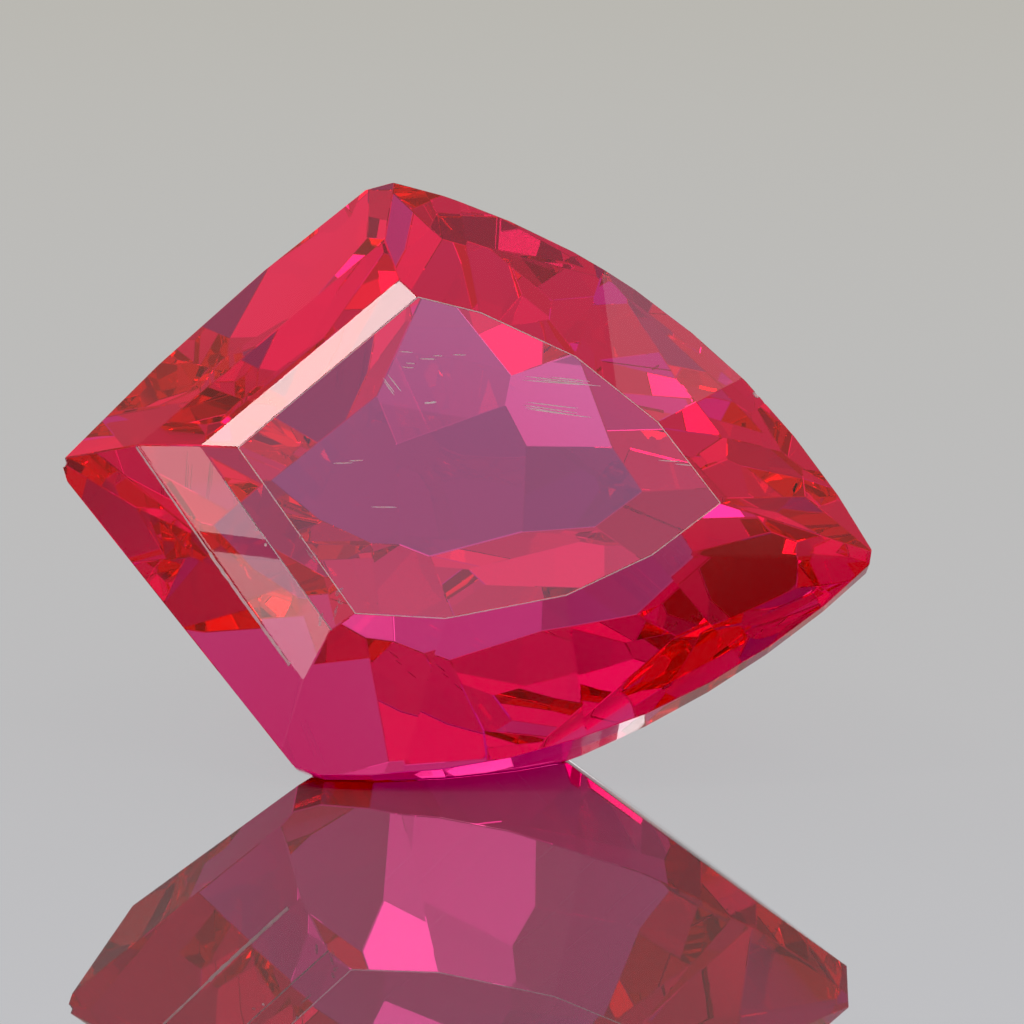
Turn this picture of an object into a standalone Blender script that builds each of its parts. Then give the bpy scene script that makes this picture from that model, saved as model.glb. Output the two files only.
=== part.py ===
"""A faceted pinkish-red sapphire (corundum) in a fancy kite outline, as one solid.

The stone is cut from a block, plane by plane, in its own cutting frame: X runs from the
square left corner to the pointed tip, Y to the top corner and Z out of the table, with Z = 0
at the upper edge of the girdle. It is then turned over onto the steep lower facet beside its
low corner, which is the facet that it rests on, and set down on Z = 0. Metres, +Z up.
"""

import math

import bmesh
import bpy
from mathutils import Matrix, Vector

MM = 0.001

# Outline of the girdle and of the table, as corners in millimetres
GIRDLE_CORNERS = {
    "left": (-0.05, -0.01),
    "top": (3.35, 4.18),
    "tip": (10.07, 0.00),
    "low": (3.50, -3.42),
}
TABLE_CORNERS = {
    "left": (2.33, 0.27),
    "top": (4.23, 2.38),
    "tip": (8.13, 0.25),
    "low": (4.01, -1.57),
}

# Sides in clockwise order, seen from the table: how far each bows out of its chord (mm)
GIRDLE_BOW = {
    ("left", "top"): 0.16,
    ("top", "tip"): 0.88,
    ("tip", "low"): 0.79,
    ("low", "left"): 0.02,
}
TABLE_BOW = {("top", "tip"): 0.49, ("tip", "low"): 0.53}

# The girdle wall is ground in many narrow flats on a bowed side, and in few on a straight one
GIRDLE_FLATS = {
    ("left", "top"): 3,
    ("top", "tip"): 9,
    ("tip", "low"): 9,
    ("low", "left"): 1,
}
# Where the four crown facets of a bowed side meet, as shares of the table edge
CROWN_MEETS = {
    ("top", "tip"): (0.0, 0.17, 0.45, 0.73, 1.0),
    ("tip", "low"): (0.0, 0.22, 0.46, 0.77, 1.0),
}

CROWN_HEIGHT = 0.95
GIRDLE_THICKNESS = 0.42
CORNER_BLUNTING = {"left": 0.05, "top": 0.09, "tip": 0.07, "low": 0.07}

# Step facets of the two straight sides, from the table outwards: width in plan and angle
STEP_WIDTHS = (0.35, 0.61)
STEP_ANGLES = {
    ("left", "top"): (17.0, 27.0, 38.5),
    ("low", "left"): (17.0, 27.0, 31.5),
}

# Pavilion facets: direction in degrees round the stone from +X, and angle from the girdle plane
RESTING_FACET = (-85.5, 65.0)
SIDE_FACETS = (
    (138.0, 61.5),
    (82.5, 67.0),
    (51.0, 70.0),
    (2.0, 55.0),
    (-43.5, 56.5),
    (231.0, 57.0),
)
# Facets round the keel: direction, angle, and depth (mm) at which each passes under the middle
KEEL_MIDDLE = (4.6, 0.3)
KEEL_FACETS = (
    (92.0, 36.0, 4.85),
    (83.0, 28.0, 4.60),
    (60.5, 32.0, 4.85),
    (66.5, 37.0, 5.00),
    (140.0, 34.5, 4.95),
    (78.5, 44.5, 5.45),
    (51.0, 50.0, 6.20),
    (-62.0, 42.0, 5.35),
    (196.5, 57.5, 7.05),
    (-108.5, 47.0, 5.30),
    (-51.0, 36.5, 5.00),
    (202.0, 48.0, 5.90),
    (-3.0, 39.0, 5.75),
)

# The resting stone is turned so that its table faces the front, -Y
TURN_AT_REST = -3.2

BLOCK_SIDE = 30.0
CUT_TOLERANCE = 1e-5
STONE_COLOUR = (0.62, 0.01, 0.09, 1.0)
STONE_ROUGHNESS = 0.02
STONE_IOR = 1.77


def clear_scene():
    """Remove every object that the file opens with."""
    for old in list(bpy.data.objects):
        bpy.data.objects.remove(old, do_unlink=True)


def arc_point(start, end, bow, share):
    """A point on the arc from start to end whose middle stands bow to the left of the chord."""
    start, end = Vector(start), Vector(end)
    chord = end - start
    left = Vector((-chord.y, chord.x)).normalized()
    if bow < 1e-6:
        return start + chord * share
    half = chord.length / 2
    radius = (half * half + bow * bow) / (2 * bow)
    sweep = 2 * math.asin(half / radius)
    angle = sweep * (0.5 - share)
    centre = start + chord / 2 - left * (radius - bow)
    return centre + radius * (math.cos(angle) * left - math.sin(angle) * chord.normalized())


def outline():
    """The girdle's corner points in clockwise order, seen from the table."""
    points = []
    for (start, end), bow in GIRDLE_BOW.items():
        flats = GIRDLE_FLATS[(start, end)]
        for step in range(flats):
            share = step / flats
            points.append(arc_point(GIRDLE_CORNERS[start], GIRDLE_CORNERS[end], bow, share))
    return points


def reach(direction):
    """How far the girdle outline extends in a horizontal direction (mm)."""
    return max(point.dot(direction) for point in outline())


def flat_direction(degrees):
    """The horizontal unit vector at this many degrees from +X."""
    turn = math.radians(degrees)
    return Vector((math.cos(turn), math.sin(turn)))


def cut(stone, point, normal):
    """Grind away all that lies beyond the plane, and close the cut with one facet."""
    geometry = stone.verts[:] + stone.edges[:] + stone.faces[:]
    made = bmesh.ops.bisect_plane(
        stone,
        geom=geometry,
        dist=CUT_TOLERANCE,
        plane_co=point,
        plane_no=normal,
        clear_outer=True,
    )
    rim = [item for item in made["geom_cut"] if isinstance(item, bmesh.types.BMEdge)]
    bmesh.ops.contextual_create(stone, geom=rim)


def facet_normal(direction, angle, upwards):
    """Outward normal of a facet that leans by angle from the girdle plane."""
    lean = math.radians(angle)
    rise = math.cos(lean) if upwards else -math.cos(lean)
    return Vector((direction.x * math.sin(lean), direction.y * math.sin(lean), rise))


def outward(start, end):
    """Horizontal unit vector out of a clockwise edge."""
    edge = Vector(end) - Vector(start)
    return Vector((-edge.y, edge.x)).normalized()


def cut_girdle(stone):
    """Grind the upright girdle wall, flat by flat, and blunt its four corners."""
    points = outline()
    for start, end in zip(points, points[1:] + points[:1]):
        cut(stone, (*start, 0.0), (*outward(start, end), 0.0))
    middle = sum((Vector(corner) for corner in GIRDLE_CORNERS.values()), Vector((0, 0))) / 4
    for name, depth in CORNER_BLUNTING.items():
        corner = Vector(GIRDLE_CORNERS[name])
        away = (corner - middle).normalized()
        cut(stone, (*(corner - away * depth), 0.0), (*away, 0.0))


def cut_crown(stone):
    """Cut the table, the step facets of the straight sides and the facets of the bowed sides."""
    cut(stone, (0, 0, CROWN_HEIGHT), (0, 0, 1))
    for (start, end), angles in STEP_ANGLES.items():
        away = outward(TABLE_CORNERS[start], TABLE_CORNERS[end])
        edge = Vector((*TABLE_CORNERS[start], CROWN_HEIGHT))
        for width, angle in zip((*STEP_WIDTHS, 0.0), angles):
            cut(stone, edge, facet_normal(away, angle, upwards=True))
            edge += Vector((*(away * width), -width * math.tan(math.radians(angle))))
    for (start, end), bow in TABLE_BOW.items():
        table = (TABLE_CORNERS[start], TABLE_CORNERS[end], bow)
        girdle = (GIRDLE_CORNERS[start], GIRDLE_CORNERS[end], GIRDLE_BOW[(start, end)])
        shares = CROWN_MEETS[(start, end)]
        for first, last in zip(shares, shares[1:]):
            edge = arc_point(*table, first)
            away = outward(edge, arc_point(*table, last))
            inset = (arc_point(*girdle, (first + last) / 2) - edge).dot(away)
            angle = math.degrees(math.atan(CROWN_HEIGHT / inset))
            cut(stone, (*edge, CROWN_HEIGHT), facet_normal(away, angle, upwards=True))


def cut_pavilion(stone):
    """Cut the steep facets under the girdle, then the shallower ones that meet at the keel."""
    for degrees, angle in (RESTING_FACET, *SIDE_FACETS):
        away = flat_direction(degrees)
        rim = away * reach(away)
        cut(stone, (*rim, -GIRDLE_THICKNESS), facet_normal(away, angle, upwards=False))
    for degrees, angle, depth in KEEL_FACETS:
        away = flat_direction(degrees)
        cut(stone, (*KEEL_MIDDLE, -depth), facet_normal(away, angle, upwards=False))


def resting_turn():
    """The rotation that lays the resting facet flat on the ground, with the table to the front."""
    direction, angle = RESTING_FACET
    down = facet_normal(flat_direction(direction), angle, upwards=False)
    along = flat_direction(direction + 90).to_3d()
    back = (-down).cross(along)
    lay_down = Matrix((along, back, -down))
    return Matrix.Rotation(math.radians(TURN_AT_REST), 3, "Z") @ lay_down


def set_down(stone):
    """Turn the stone onto its resting facet and centre its box over the origin."""
    bmesh.ops.rotate(stone, verts=stone.verts, cent=(0, 0, 0), matrix=resting_turn())
    low = [min(vert.co[axis] for vert in stone.verts) for axis in range(3)]
    high = [max(vert.co[axis] for vert in stone.verts) for axis in range(3)]
    shift = Vector((-(low[0] + high[0]) / 2, -(low[1] + high[1]) / 2, -low[2]))
    bmesh.ops.translate(stone, verts=stone.verts, vec=shift)


def corundum():
    """The clear pinkish-red material of the stone."""
    material = bpy.data.materials.new("Pink-red corundum")
    material.use_nodes = True
    shader = material.node_tree.nodes["Principled BSDF"]
    shader.inputs["Base Color"].default_value = STONE_COLOUR
    shader.inputs["Roughness"].default_value = STONE_ROUGHNESS
    shader.inputs["Metallic"].default_value = 0.0
    shader.inputs["IOR"].default_value = STONE_IOR
    shader.inputs["Transmission Weight"].default_value = 1.0
    return material


def build_sapphire():
    """The whole stone as one object."""
    stone = bmesh.new()
    bmesh.ops.create_cube(stone, size=BLOCK_SIDE)
    cut_girdle(stone)
    cut_crown(stone)
    cut_pavilion(stone)
    set_down(stone)
    bmesh.ops.scale(stone, verts=stone.verts, vec=(MM, MM, MM))
    bmesh.ops.recalc_face_normals(stone, faces=stone.faces)
    mesh = bpy.data.meshes.new("sapphire")
    stone.to_mesh(mesh)
    stone.free()
    mesh.materials.append(corundum())
    sapphire = bpy.data.objects.new("sapphire", mesh)
    bpy.context.scene.collection.objects.link(sapphire)
    return sapphire


clear_scene()
build_sapphire()
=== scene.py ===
"""The looks of a faceted pinkish-red sapphire that leans on one of its lower facets.

The stone that shows is a copy of the cut solid. It is worked on at bench scale, where one unit
is a millimetre: its edges are worn, fine scratches are ground into its table and small nicks are
broken out of its edges. Then it is shrunk back to metres. Feathers, the small cracks that are
sealed in the stone, are pieces of their own.
"""

import logging
import math
import random
from dataclasses import dataclass
from enum import Enum
from itertools import combinations

import bmesh
import bpy
from mathutils import Matrix, Quaternion, Vector


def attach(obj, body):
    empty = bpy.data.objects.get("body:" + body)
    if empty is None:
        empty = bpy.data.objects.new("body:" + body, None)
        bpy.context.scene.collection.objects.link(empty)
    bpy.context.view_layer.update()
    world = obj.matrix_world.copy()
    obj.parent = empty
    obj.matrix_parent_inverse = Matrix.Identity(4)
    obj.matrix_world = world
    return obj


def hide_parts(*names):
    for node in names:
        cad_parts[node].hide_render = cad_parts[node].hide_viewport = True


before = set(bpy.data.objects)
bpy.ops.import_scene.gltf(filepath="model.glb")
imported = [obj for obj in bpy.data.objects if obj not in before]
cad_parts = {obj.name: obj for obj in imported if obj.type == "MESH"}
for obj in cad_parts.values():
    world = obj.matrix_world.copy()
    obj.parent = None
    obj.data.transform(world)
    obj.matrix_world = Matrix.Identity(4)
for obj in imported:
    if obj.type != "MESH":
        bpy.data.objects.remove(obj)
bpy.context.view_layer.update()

MM = 0.001
BENCH = 1.0 / MM
MERGE = 1e-4
UNIT_BALL = 0.5

# Places of the two colours and of the result on a Mix node that mixes colours
MIX_FIRST, MIX_SECOND, MIX_RESULT = 6, 7, 2

BOUNCES = 32
CLEAR_BOUNCES = 12
BRIGHTEST_BOUNCE = 10.0
BLACK_LEVEL = 0.018

log = logging.getLogger("sapphire")


class Finish(Enum):
    """How a face of the stone was made, as a value stored on the face for the material."""

    POLISHED = 0.0
    GROUND = 1.0


def linear(colour: str) -> tuple[float, float, float, float]:
    """Turn an sRGB hex colour into linear light.

    Args:
        colour: six hex digits after a hash.

    Returns:
        Red, green, blue and an alpha of 1.
    """
    shares = [int(colour[at : at + 2], 16) / 255 for at in (1, 3, 5)]
    low = [share / 12.92 for share in shares]
    high = [((share + 0.055) / 1.055) ** 2.4 for share in shares]
    red, green, blue = [b if share > 0.04045 else a for share, a, b in zip(shares, low, high)]
    return red, green, blue, 1.0


def add_node(
    tree: bpy.types.NodeTree,
    kind: str,
    settings: dict[str, object] | None = None,
    links: dict[str, bpy.types.NodeSocket] | None = None,
) -> bpy.types.Node:
    """Add a shader node with its settings and links.

    Args:
        tree: the material's or world's node tree.
        kind: the node's type name.
        settings: values by the name of an input socket, or of a property of the node.
        links: output sockets of other nodes, by the name of the input that each one feeds.

    Returns:
        The new node.
    """
    node = tree.nodes.new(kind)
    for name, value in (settings or {}).items():
        if name in node.inputs:
            node.inputs[name].default_value = value
        else:
            setattr(node, name, value)
    for name, source in (links or {}).items():
        tree.links.new(source, node.inputs[name])
    return node


def empty_material(name: str) -> tuple[bpy.types.Material, bpy.types.Node]:
    """Make a material that holds nothing but its output node.

    Args:
        name: what the material is called.

    Returns:
        The material and its output node.
    """
    material = bpy.data.materials.new(name)
    material.use_nodes = True
    material.node_tree.nodes.clear()
    return material, add_node(material.node_tree, "ShaderNodeOutputMaterial")


def select_only(piece: bpy.types.Object) -> None:
    """Select this object alone and make it the active one."""
    bpy.ops.object.select_all(action="DESELECT")
    piece.select_set(True)
    bpy.context.view_layer.objects.active = piece


def join(pieces: list[bpy.types.Object], name: str) -> bpy.types.Object:
    """Join several objects into one.

    Args:
        pieces: the objects, each with its own mesh.
        name: what the joined object is called.

    Returns:
        The joined object.
    """
    select_only(pieces[0])
    for piece in pieces[1:]:
        piece.select_set(True)
    if len(pieces) > 1:
        bpy.ops.object.join()
    joined = bpy.context.view_layer.objects.active
    joined.name = name
    return joined


def settle(piece: bpy.types.Object) -> None:
    """Put the object's place, turn and scale into its mesh."""
    select_only(piece)
    bpy.ops.object.transform_apply(location=True, rotation=True, scale=True)


def shrink_to_metres(piece: bpy.types.Object) -> None:
    """Bring a piece from bench scale back to metres."""
    piece.scale = (MM, MM, MM)
    settle(piece)


@dataclass(frozen=True)
class Corundum:
    """Clear pink-red corundum, cut and polished on a lap.

    White light that has crossed a few millimetres of it keeps its red, loses most of its green and
    about half of its blue, so short ways through the stone look pink and long ones crimson.
    """

    ior: float = 1.765
    seen_through: str = "#FF89CA"
    thickness: float = 3.0 * MM
    clear_tint: str = "#FFFFFF"
    zoned_tint: str = "#FFEDF2"
    zone_size: float = 2.5 * MM
    polish_roughness: float = 0.0
    ground_roughness: float = 0.3
    ground_clearness: float = 0.35

    def absorption(self) -> tuple[tuple[float, float, float, float], float]:
        """Work out the colour and the density of the plain absorption inside the stone."""
        lost = [-math.log(share) / self.thickness for share in linear(self.seen_through)[:3]]
        density = max(lost)
        red, green, blue = [1 - each / density for each in lost]
        return (red, green, blue, 1.0), density

    def material(self) -> bpy.types.Material:
        """Make the stone's material.

        Returns:
            Glass-clear corundum, frosted where a face is marked as ground.
        """
        material, output = empty_material("Polished corundum")
        tree = material.node_tree
        place = add_node(tree, "ShaderNodeTexCoord")
        # Colour zoning: broad, barely pinker clouds, which keep large facets from looking flat
        zones = add_node(
            tree,
            "ShaderNodeTexNoise",
            {"Scale": 1 / self.zone_size, "Detail": 1.0},
            {"Vector": place.outputs["Object"]},
        )
        tint = add_node(
            tree,
            "ShaderNodeMix",
            {"data_type": "RGBA"},
            {"Factor": zones.outputs["Fac"]},
        )
        tint.inputs[MIX_FIRST].default_value = linear(self.clear_tint)
        tint.inputs[MIX_SECOND].default_value = linear(self.zoned_tint)
        # Ground faces, in scratches and worn edges, scatter light and look frosted
        marked = add_node(tree, "ShaderNodeAttribute", {"attribute_name": "ground"})
        roughness = add_node(
            tree,
            "ShaderNodeMapRange",
            {"To Min": self.polish_roughness, "To Max": self.ground_roughness},
            {"Value": marked.outputs["Fac"]},
        )
        # The crushed crystal in them hides most of what lies behind, so they look pale
        clearness = add_node(
            tree,
            "ShaderNodeMapRange",
            {"To Min": 1.0, "To Max": self.ground_clearness},
            {"Value": marked.outputs["Fac"]},
        )
        surface = add_node(
            tree,
            "ShaderNodeBsdfPrincipled",
            {"IOR": self.ior, "Metallic": 0.0},
            {
                "Base Color": tint.outputs[MIX_RESULT],
                "Roughness": roughness.outputs["Result"],
                "Transmission Weight": clearness.outputs["Result"],
            },
        )
        colour, density = self.absorption()
        inside = add_node(
            tree, "ShaderNodeVolumeAbsorption", {"Color": colour, "Density": density}
        )
        tree.links.new(surface.outputs["BSDF"], output.inputs["Surface"])
        tree.links.new(inside.outputs["Volume"], output.inputs["Volume"])
        return material


@dataclass(frozen=True)
class HealedCrack:
    """A feather: a crack inside the stone that has partly healed.

    Gas in it scatters light, so it shows as a pale, broken, silky film. Where the patches are
    thinner than the lower edge it is clear, and past the upper one it has its full cover.
    """

    film: str = "#FFE3E6"
    cover: float = 0.75
    edges: tuple[float, float] = (0.35, 0.65)
    patch_size: float = 0.05 * MM
    roughness: float = 0.5

    def material(self) -> bpy.types.Material:
        """Make the film's material: pale and see-through by turns."""
        material, output = empty_material("Healed crack")
        tree = material.node_tree
        place = add_node(tree, "ShaderNodeTexCoord")
        patches = add_node(
            tree,
            "ShaderNodeTexNoise",
            {"Scale": 1 / self.patch_size, "Detail": 3.0},
            {"Vector": place.outputs["Object"]},
        )
        cover = add_node(
            tree,
            "ShaderNodeMapRange",
            {"From Min": self.edges[0], "From Max": self.edges[1], "To Max": self.cover},
            {"Value": patches.outputs["Fac"]},
        )
        film = add_node(
            tree,
            "ShaderNodeBsdfPrincipled",
            {"Base Color": linear(self.film), "Roughness": self.roughness},
            {"Alpha": cover.outputs["Result"]},
        )
        tree.links.new(film.outputs["BSDF"], output.inputs["Surface"])
        return material


@dataclass(frozen=True)
class PolishedPlate:
    """Pale polished metal plate, which mirrors what stands on it and has a faint grey bloom."""

    light: str = "#B4B3B4"
    dark: str = "#B0B1B4"
    cloud_size: float = 30 * MM
    metallic: float = 0.78
    roughness: float = 0.012

    def material(self) -> bpy.types.Material:
        """Make the plate's material: broad faint clouds of grey under a mirror polish."""
        material, output = empty_material("Polished pale plate")
        tree = material.node_tree
        place = add_node(tree, "ShaderNodeTexCoord")
        clouds = add_node(
            tree,
            "ShaderNodeTexNoise",
            {"Scale": 1 / self.cloud_size, "Detail": 2.0},
            {"Vector": place.outputs["Object"]},
        )
        shade = add_node(
            tree,
            "ShaderNodeMix",
            {"data_type": "RGBA"},
            {"Factor": clouds.outputs["Fac"]},
        )
        shade.inputs[MIX_FIRST].default_value = linear(self.light)
        shade.inputs[MIX_SECOND].default_value = linear(self.dark)
        surface = add_node(
            tree,
            "ShaderNodeBsdfPrincipled",
            {"Roughness": self.roughness, "Metallic": self.metallic},
            {"Base Color": shade.outputs[MIX_RESULT]},
        )
        tree.links.new(surface.outputs["BSDF"], output.inputs["Surface"])
        return material


@dataclass(frozen=True)
class Scratches:
    """A band of fine parallel scratches on the table, in millimetres from the table's middle."""

    across: float
    up: float
    length: float
    turn: float
    count: int
    spread: tuple[float, float]
    width: float = 0.016


@dataclass(frozen=True)
class WornEdge:
    """A stretch of edge between two facets that is rubbed off in a wavy line.

    Both ends are places across, up and under the table, in millimetres from its middle.
    """

    start: tuple[float, float, float]
    end: tuple[float, float, float]
    radius: float
    wobble: float
    rings: int = 26
    sides: int = 6


@dataclass(frozen=True)
class Nick:
    """A small chip broken out of an edge, at a place across, up and under the table."""

    place: tuple[float, float, float]
    size: float


@dataclass(frozen=True)
class Feather:
    """A small flat film inside the stone, at a place across, up and under the table."""

    place: tuple[float, float, float]
    length: float
    width: float
    turn: float


@dataclass
class Sapphire:
    """The cut stone, as a worn and scratched copy of the cut solid.

    The widths of worn edges and scratches are real ones in millimetres, the unit of the bench.
    A scratch is at least the shortest share of its band's length, and turned from its band by up
    to stray_turn degrees. The table's rim wobbles by its wear over its evenness.
    """

    edge_wear: float = 0.012
    wear_steps: int = 2
    rim_wear: float = 0.008
    rim_evenness: float = 3
    flat_within: float = 0.4
    scratch_depth: float = 0.006
    scratch_steps: int = 1
    shortest: float = 0.6
    stray_turn: float = 2
    film_steps: int = 2
    film_thickness: float = 0.01
    film_ripple: float = 0.006
    nick_steps: int = 2
    nick_roughness: float = 0.2
    seed: int = 11
    bands: tuple[Scratches, ...] = (
        Scratches(-0.76, 1.20, 0.22, 4, 7, (0.36, 0.12)),
        Scratches(-1.20, 0.77, 0.34, -46, 3, (0.06, 0.10)),
        Scratches(-0.69, 0.69, 0.14, 14, 2, (0.05, 0.03), 0.03),
        Scratches(0.86, 1.12, 0.95, 1, 4, (0.10, 0.06)),
        Scratches(0.83, 0.78, 1.15, -1, 4, (0.08, 0.08)),
        Scratches(-1.56, -0.17, 0.30, 8, 2, (0.10, 0.06)),
        Scratches(-1.05, -0.66, 0.55, 7, 1, (0.0, 0.0)),
        Scratches(2.37, 0.29, 0.45, 3, 2, (0.15, 0.05)),
    )
    worn: tuple[WornEdge, ...] = (
        WornEdge((-4.22, -0.17, 0.44), (-3.09, -1.41, 0.44), 0.014, 0.005),
        WornEdge((-3.13, -1.37, 0.44), (-1.96, -2.61, 0.44), 0.024, 0.010),
        WornEdge((-3.02, -0.54, 0.12), (-1.48, -2.19, 0.12), 0.010, 0.004),
    )
    nicks: tuple[Nick, ...] = (
        Nick((-5.21, -0.34, 0.98), 0.07),
        Nick((3.18, 1.49, 0.93), 0.05),
        Nick((3.31, 1.42, 0.95), 0.04),
        Nick((-1.99, -1.14, 0.02), 0.022),
        Nick((-2.42, -1.26, 0.12), 0.025),
    )
    feathers: tuple[Feather, ...] = (
        Feather((-1.45, -1.70, 0.30), 0.10, 0.05, 66),
        Feather((-1.41, -1.79, 0.31), 0.09, 0.06, -34),
        Feather((-1.45, -1.93, 0.35), 0.20, 0.03, 81),
        Feather((-1.61, -2.02, 0.41), 0.18, 0.04, 91),
        Feather((-1.84, -1.28, 0.32), 0.22, 0.03, -46),
        Feather((-2.54, -1.03, 0.35), 0.05, 0.04, 16),
    )
    finish: Corundum = Corundum()
    film: HealedCrack = HealedCrack()

    def __post_init__(self) -> None:
        """Copy the solid's mesh onto the bench and find its table."""
        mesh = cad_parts["sapphire"].data.copy()
        mesh.materials.clear()
        self.piece = bpy.data.objects.new("faceted_sapphire", mesh)
        bpy.context.scene.collection.objects.link(self.piece)
        self.draw = random.Random(self.seed)
        self.merge_facets()
        self.find_table()

    def merge_facets(self) -> None:
        """Make each facet one face, and bring the copy up to bench scale."""
        self.piece.scale = (BENCH, BENCH, BENCH)
        settle(self.piece)
        bpy.ops.object.mode_set(mode="EDIT")
        bpy.ops.mesh.select_all(action="SELECT")
        bpy.ops.mesh.remove_doubles(threshold=MERGE)
        bpy.ops.mesh.dissolve_limited(angle_limit=math.radians(self.flat_within))
        bpy.ops.mesh.normals_make_consistent(inside=False)
        bpy.ops.object.mode_set(mode="OBJECT")

    def find_table(self) -> None:
        """Find the table's middle and rim, and the ways across it, up it and out of it."""
        mesh = self.piece.data
        facing = [face for face in mesh.polygons if face.normal.y < 0]
        table = max(facing, key=lambda face: face.area)
        self.out = table.normal.copy()
        corners = [mesh.vertices[index].co for index in table.vertices]
        # The two corners that lie farthest apart are the left one and the tip
        one, other = max(combinations(corners, 2), key=lambda pair: (pair[1] - pair[0]).length)
        left, tip = (one, other) if one.x < other.x else (other, one)
        self.across = (tip - left).normalized()
        self.up = self.out.cross(self.across)
        middle = Vector()
        for axis in (self.across, self.up, self.out):
            reach = [corner.dot(axis) for corner in corners]
            middle += axis * (min(reach) + max(reach)) / 2
        self.middle = middle
        spots = [corner - middle for corner in corners]
        places = [(spot.dot(self.across), spot.dot(self.up), 0.0) for spot in spots]
        self.rim = [
            WornEdge(start, end, self.rim_wear, self.rim_wear / self.rim_evenness)
            for start, end in zip(places, places[1:] + places[:1])
        ]

    def at(self, across: float, up: float, depth: float = 0.0) -> Vector:
        """The point this far across and up from the table's middle, and this deep under it."""
        return self.middle + self.across * across + self.up * up - self.out * depth

    def lay_on_table(self, tool: bpy.types.Object, place: Vector, turn: float) -> None:
        """Lay a piece flat along the table.

        Args:
            tool: the piece, made at the origin.
            place: where its middle goes.
            turn: how far it is turned from the table's across direction, in degrees.
        """
        flat = Matrix((self.across, self.up, self.out)).transposed()
        spin = Matrix.Rotation(math.radians(turn), 4, "Z")
        tool.matrix_world = Matrix.Translation(place) @ flat.to_4x4() @ spin
        settle(tool)

    def wear_edges(self) -> None:
        """Round every edge of the stone a little, as handling does."""
        select_only(self.piece)
        bpy.ops.object.mode_set(mode="EDIT")
        bpy.ops.mesh.select_all(action="SELECT")
        bpy.ops.mesh.bevel(
            offset=self.edge_wear,
            offset_type="OFFSET",
            segments=self.wear_steps,
            affect="EDGES",
            clamp_overlap=False,
        )
        bpy.ops.object.mode_set(mode="OBJECT")

    def scratch_tools(self, band: Scratches) -> list[bpy.types.Object]:
        """Shape one long pointed cutter for each scratch of a band.

        Args:
            band: the band of scratches.

        Returns:
            The cutters, each half sunk into the table.
        """
        tools = []
        for _ in range(band.count):
            across = band.across + self.draw.uniform(-1, 1) * band.spread[0]
            up = band.up + self.draw.uniform(-1, 1) * band.spread[1]
            length = band.length * self.draw.uniform(self.shortest, 1.0)
            turn = band.turn + self.draw.uniform(-self.stray_turn, self.stray_turn)
            bpy.ops.object.select_all(action="DESELECT")
            bpy.ops.mesh.primitive_ico_sphere_add(
                subdivisions=self.scratch_steps, radius=UNIT_BALL
            )
            tool = bpy.context.object
            tool.scale = (length, band.width, 2 * self.scratch_depth)
            settle(tool)
            self.lay_on_table(tool, self.at(across, up), turn)
            tools.append(tool)
        return tools

    def edge_tool(self, worn: WornEdge) -> bpy.types.Object:
        """Shape a wavy rod that lies along an edge and rubs it off.

        Args:
            worn: the stretch of edge.

        Returns:
            The rod, half sunk into the edge.
        """
        start, end = self.at(*worn.start), self.at(*worn.end)
        along = end - start
        bpy.ops.object.select_all(action="DESELECT")
        bpy.ops.mesh.primitive_cylinder_add(
            vertices=worn.sides, radius=worn.radius, depth=along.length
        )
        rod = bpy.context.object
        bpy.ops.object.mode_set(mode="EDIT")
        shape = bmesh.from_edit_mesh(rod.data)
        for edge in shape.edges:
            first, second = edge.verts
            edge.select_set(abs(first.co.z - second.co.z) > along.length / 2)
        bmesh.update_edit_mesh(rod.data)
        bpy.ops.mesh.subdivide(number_cuts=worn.rings)
        bpy.ops.mesh.select_all(action="SELECT")
        bpy.ops.transform.vertex_random(offset=worn.wobble, seed=self.seed)
        bpy.ops.object.mode_set(mode="OBJECT")
        turn = along.to_track_quat("Z", "Y").to_matrix().to_4x4()
        rod.matrix_world = Matrix.Translation((start + end) / 2) @ turn
        settle(rod)
        return rod

    def nick_tool(self, nick: Nick) -> bpy.types.Object:
        """Shape a lumpy ball that breaks a chip out of an edge."""
        bpy.ops.object.select_all(action="DESELECT")
        bpy.ops.mesh.primitive_ico_sphere_add(
            subdivisions=self.nick_steps, radius=nick.size, location=self.at(*nick.place)
        )
        ball = bpy.context.object
        bpy.ops.object.mode_set(mode="EDIT")
        bpy.ops.mesh.select_all(action="SELECT")
        bpy.ops.transform.vertex_random(offset=nick.size * self.nick_roughness, seed=self.seed)
        bpy.ops.object.mode_set(mode="OBJECT")
        settle(ball)
        return ball

    def grind(self) -> None:
        """Grind the scratches, worn edges and nicks out of the stone, and mark their faces."""
        tools = [tool for band in self.bands for tool in self.scratch_tools(band)]
        tools += [self.edge_tool(worn) for worn in (*self.worn, *self.rim)]
        tools += [self.nick_tool(nick) for nick in self.nicks]
        tool = join(tools, "grinding_tool")
        polished = bpy.data.materials.new(Finish.POLISHED.name)
        ground = bpy.data.materials.new(Finish.GROUND.name)
        self.piece.data.materials.append(polished)
        tool.data.materials.append(ground)
        select_only(self.piece)
        cut = self.piece.modifiers.new("grind", "BOOLEAN")
        cut.object = tool
        cut.operation = "DIFFERENCE"
        cut.solver = "EXACT"
        cut.use_self = True
        cut.material_mode = "TRANSFER"
        bpy.ops.object.modifier_apply(modifier=cut.name)
        bpy.data.objects.remove(tool, do_unlink=True)
        self.mark_ground_faces()

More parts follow.
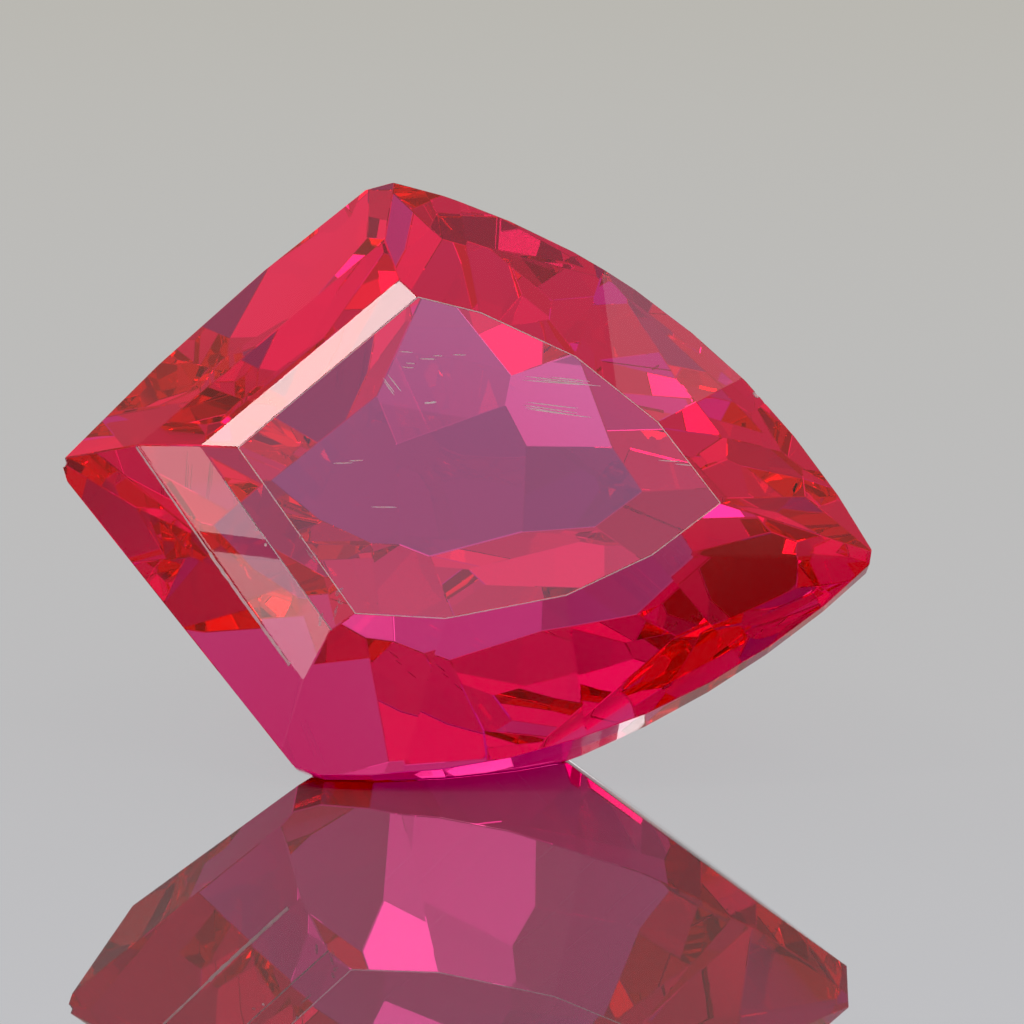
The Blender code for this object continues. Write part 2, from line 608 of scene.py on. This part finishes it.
    def mark_ground_faces(self) -> None:
        """Store on each face whether it is polished or ground."""
        mesh = self.piece.data
        names = [material.name for material in mesh.materials]
        marks = mesh.attributes.new("ground", "FLOAT", "FACE")
        count = 0
        for face in mesh.polygons:
            is_ground = names[face.material_index] == Finish.GROUND.name
            marks.data[face.index].value = (Finish.GROUND if is_ground else Finish.POLISHED).value
            face.material_index = 0
            count += is_ground
        mesh.materials.clear()
        log.info("%d ground faces in scratches, worn edges and nicks", count)

    def build(self) -> bpy.types.Object:
        """Wear, scratch and dress the stone.

        Returns:
            The finished piece, in metres.
        """
        self.wear_edges()
        self.grind()
        shrink_to_metres(self.piece)
        self.piece.data.materials.append(self.finish.material())
        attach(self.piece, "root")
        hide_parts("sapphire")
        log.info("%s: %d faces", self.piece.name, len(self.piece.data.polygons))
        return self.piece

    def build_feathers(self) -> bpy.types.Object:
        """Seal the small films into the stone.

        Returns:
            All of them as one piece, in metres.
        """
        films = []
        for feather in self.feathers:
            bpy.ops.object.select_all(action="DESELECT")
            bpy.ops.mesh.primitive_ico_sphere_add(subdivisions=self.film_steps, radius=UNIT_BALL)
            film = bpy.context.object
            film.scale = (feather.length, feather.width, self.film_thickness)
            settle(film)
            bpy.ops.object.mode_set(mode="EDIT")
            bpy.ops.mesh.select_all(action="SELECT")
            bpy.ops.transform.vertex_random(offset=self.film_ripple, seed=self.seed)
            bpy.ops.object.mode_set(mode="OBJECT")
            self.lay_on_table(film, self.at(*feather.place), feather.turn)
            films.append(film)
        piece = join(films, "feathers")
        shrink_to_metres(piece)
        piece.data.materials.append(self.film.material())
        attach(piece, "root")
        log.info("%s: %d films", piece.name, len(films))
        return piece


@dataclass(frozen=True)
class Softbox:
    """A flat lamp behind a diffusing cloth, aimed at the stone.

    Its width and height are the angles, in degrees, that it fills as the stone sees it.
    """

    name: str
    azimuth: float
    elevation: float
    width: float
    height: float
    radiance: float
    colour: str = "#FFFFFF"
    distance: float = 0.9

    def build(self, target: Vector) -> None:
        """Hang the lamp round the target and aim it.

        Args:
            target: the point that it lights.
        """
        away = direction(self.azimuth, self.elevation)
        turn = (-away).to_track_quat("-Z", "Y").to_euler()
        bpy.ops.object.select_all(action="DESELECT")
        place = target + away * self.distance
        bpy.ops.object.light_add(type="AREA", location=place, rotation=turn)
        lamp = bpy.context.object
        lamp.name = self.name
        lamp.data.shape = "RECTANGLE"
        lamp.data.size = 2 * self.distance * math.tan(math.radians(self.width / 2))
        lamp.data.size_y = 2 * self.distance * math.tan(math.radians(self.height / 2))
        lamp.data.energy = self.radiance * math.pi * lamp.data.size * lamp.data.size_y
        lamp.data.color = linear(self.colour)[:3]


def direction(azimuth: float, elevation: float) -> Vector:
    """The unit vector from the stone at this azimuth, from -Y towards +X, and this elevation."""
    turn = math.radians(azimuth)
    rise = math.radians(elevation)
    flat = math.cos(rise)
    return Vector((math.sin(turn) * flat, -math.cos(turn) * flat, math.sin(rise)))


@dataclass(frozen=True)
class Glow:
    """A wide, faint patch of the room's wall that is brighter than the rest, with soft edges.

    It is whole within the inner angle from its middle and gone at the outer one, in degrees.
    """

    azimuth: float
    elevation: float
    inner: float
    outer: float
    radiance: float
    colour: str

    def add_to(
        self, tree: bpy.types.NodeTree, light: bpy.types.NodeSocket
    ) -> bpy.types.NodeSocket:
        """Add the patch to the room's light.

        Args:
            tree: the world's node tree.
            light: the light of the room without the patch.

        Returns:
            The light of the room with it.
        """
        where = add_node(tree, "ShaderNodeTexCoord")
        nearness = add_node(tree, "ShaderNodeVectorMath", {"operation": "DOT_PRODUCT"})
        tree.links.new(where.outputs["Generated"], nearness.inputs[0])
        nearness.inputs[1].default_value = direction(self.azimuth, self.elevation)
        share = add_node(
            tree,
            "ShaderNodeMapRange",
            {
                "interpolation_type": "SMOOTHSTEP",
                "From Min": math.cos(math.radians(self.outer)),
                "From Max": math.cos(math.radians(self.inner)),
            },
            {"Value": nearness.outputs["Value"]},
        )
        total = add_node(
            tree,
            "ShaderNodeMix",
            {"data_type": "RGBA", "blend_type": "ADD"},
            {"Factor": share.outputs["Result"]},
        )
        tree.links.new(light, total.inputs[MIX_FIRST])
        total.inputs[MIX_SECOND].default_value = [
            self.radiance * part for part in linear(self.colour)
        ]
        return total.outputs[MIX_RESULT]


@dataclass
class Studio:
    """A pale polished floor in a white room, under soft lamps.

    The backdrop is the bright part of the wall behind the stone. Its rise, edge and depth are in
    shares of a direction: upwards, to either side and backwards.
    """

    floor_side: float = 1.6
    floor_gap: float = 0.01 * MM
    surround: str = "#FFFCF2"
    surround_level: float = 0.49
    backdrop: str = "#FDFDFF"
    backdrop_level: float = 1.18
    backdrop_rise: tuple[tuple[float, float], ...] = ((0.0, 0.0), (0.38, 1.0), (0.47, 0.0))
    backdrop_edge: tuple[float, float] = (0.185, 0.29)
    backdrop_depth: float = 0.3
    glows: tuple[Glow, ...] = (
        Glow(-42, 15, 8, 17, 0.4, "#FFE7E7"),
        Glow(-8, 17, 10, 23, 0.28, "#FFD7CC"),
    )
    target: Vector = Vector((0.0, 0.0, 0.003))
    lamps: tuple[Softbox, ...] = (
        Softbox("key_softbox", -63, 55, 11, 9, 7.6, "#FFF4EC"),
        Softbox("sky_window", -11, 40, 26, 17, 0.92, "#00CBFF"),
        Softbox("right_softbox", 48, 37, 12, 8, 0.7, "#FFF2F8"),
        Softbox("high_right_softbox", 75, 53, 20, 15, 0.6),
        Softbox("low_left_strip", -54, 2, 15, 4, 2),
        Softbox("back_left_softbox", -168, 44, 26, 10, 0.37, "#FFF0F2"),
        Softbox("back_left_card", -158, 43, 12, 8, 0.85),
        Softbox("back_right_softbox", 172, 36, 32, 16, 0.15),
        Softbox("high_back_left_spot", -153, 53, 10, 9, 2.2),
        Softbox("low_back_right_softbox", 160, 12, 14, 8, 0.85),
        Softbox("high_back_right_softbox", 125, 55, 18, 8, 0.45),
        Softbox("back_spot", 172.5, 33.2, 7, 4, 3),
        Softbox("low_back_spot", -179.3, 12, 9, 6, 1.6),
        Softbox("high_right_spot", 44, 68, 14, 8, 2.2),
    )
    finish: PolishedPlate = PolishedPlate()

    def build_floor(self) -> None:
        """Lay the plate a hair below the stone."""
        bpy.ops.object.select_all(action="DESELECT")
        bpy.ops.mesh.primitive_plane_add(size=self.floor_side, location=(0, 0, -self.floor_gap))
        floor = bpy.context.object
        floor.name = "floor"
        floor.data.materials.append(self.finish.material())

    def backdrop_share(self, tree: bpy.types.NodeTree) -> bpy.types.NodeSocket:
        """Work out how much each direction belongs to the bright backdrop behind the stone.

        Args:
            tree: the world's node tree.

        Returns:
            A share that grows with height, is whole straight behind and fades to either side.
        """
        where = add_node(tree, "ShaderNodeTexCoord")
        axes = add_node(
            tree, "ShaderNodeSeparateXYZ", None, {"Vector": where.outputs["Generated"]}
        )
        rise = add_node(tree, "ShaderNodeValToRGB", None, {"Fac": axes.outputs["Z"]})
        stops = rise.color_ramp.elements
        while len(stops) < len(self.backdrop_rise):
            stops.new(1.0)
        for stop, (height, share) in zip(stops, self.backdrop_rise):
            stop.position = height
            stop.color = (share, share, share, 1.0)
        aside = add_node(
            tree, "ShaderNodeMath", {"operation": "ABSOLUTE"}, {"Value": axes.outputs["X"]}
        )
        middle = add_node(
            tree,
            "ShaderNodeMapRange",
            {
                "interpolation_type": "SMOOTHSTEP",
                "From Min": self.backdrop_edge[0],
                "From Max": self.backdrop_edge[1],
                "To Min": 1.0,
                "To Max": 0.0,
            },
            {"Value": aside.outputs["Value"]},
        )
        behind = add_node(
            tree,
            "ShaderNodeMapRange",
            {"From Max": self.backdrop_depth},
            {"Value": axes.outputs["Y"]},
        )
        share = rise.outputs["Color"]
        for part in (middle, behind):
            product = add_node(tree, "ShaderNodeMath", {"operation": "MULTIPLY"})
            tree.links.new(share, product.inputs[0])
            tree.links.new(part.outputs["Result"], product.inputs[1])
            share = product.outputs["Value"]
        return share

    def build_surround(self) -> None:
        """Light everything from all round, as a white room with a brighter backdrop does."""
        world = bpy.data.worlds.new("White room")
        bpy.context.scene.world = world
        world.use_nodes = True
        world.node_tree.nodes.clear()
        tree = world.node_tree
        output = add_node(tree, "ShaderNodeOutputWorld")
        light = add_node(
            tree,
            "ShaderNodeMix",
            {"data_type": "RGBA"},
            {"Factor": self.backdrop_share(tree)},
        )
        for place, colour, level in (
            (MIX_FIRST, self.surround, self.surround_level),
            (MIX_SECOND, self.backdrop, self.backdrop_level),
        ):
            light.inputs[place].default_value = [level * part for part in linear(colour)]
        colour = light.outputs[MIX_RESULT]
        for glow in self.glows:
            colour = glow.add_to(tree, colour)
        room = add_node(tree, "ShaderNodeBackground", None, {"Color": colour})
        tree.links.new(room.outputs["Background"], output.inputs["Surface"])

    def build(self) -> None:
        """Build the floor, the surround and the lamps."""
        self.build_floor()
        self.build_surround()
        for lamp in self.lamps:
            lamp.build(self.target)
            log.info("%s at azimuth %g, elevation %g", lamp.name, lamp.azimuth, lamp.elevation)


@dataclass
class Camera:
    """A close-up camera that looks slightly down on the stone from the front."""

    azimuth: float = 0.11
    elevation: float = 11.79
    distance: float = 35.41 * MM
    aim: Vector = Vector((0.60, -0.12, 2.90)) * MM
    lens: float = 97.95
    sensor: float = 36.0
    nearest: float = 1 * MM
    roll: float = 1.33

    def build(self) -> None:
        """Set the camera up and make it the scene's."""
        away = direction(self.azimuth, self.elevation)
        roll = Quaternion((0, 0, 1), math.radians(self.roll))
        turn = ((-away).to_track_quat("-Z", "Y") @ roll).to_euler()
        bpy.ops.object.select_all(action="DESELECT")
        bpy.ops.object.camera_add(location=self.aim + away * self.distance, rotation=turn)
        camera = bpy.context.object
        camera.name = "camera"
        camera.data.lens = self.lens
        camera.data.sensor_width = self.sensor
        camera.data.clip_start = self.nearest
        bpy.context.scene.camera = camera


def set_light_paths() -> None:
    """Let light bounce often enough inside the stone, and set the picture's tone."""
    scene = bpy.context.scene
    scene.cycles.max_bounces = BOUNCES
    scene.cycles.transmission_bounces = BOUNCES
    scene.cycles.glossy_bounces = BOUNCES
    scene.cycles.transparent_max_bounces = CLEAR_BOUNCES
    scene.cycles.sample_clamp_indirect = BRIGHTEST_BOUNCE
    tone = scene.view_settings
    tone.view_transform = "Standard"
    tone.use_curve_mapping = True
    tone.curve_mapping.black_level = (BLACK_LEVEL, BLACK_LEVEL, BLACK_LEVEL)


def main() -> None:
    """Build the stone, the studio and the camera."""
    logging.basicConfig(level=logging.INFO, format="%(message)s")
    sapphire = Sapphire()
    sapphire.build()
    sapphire.build_feathers()
    Studio().build()
    Camera().build()
    set_light_paths()


if __name__ == "__main__":
    main()
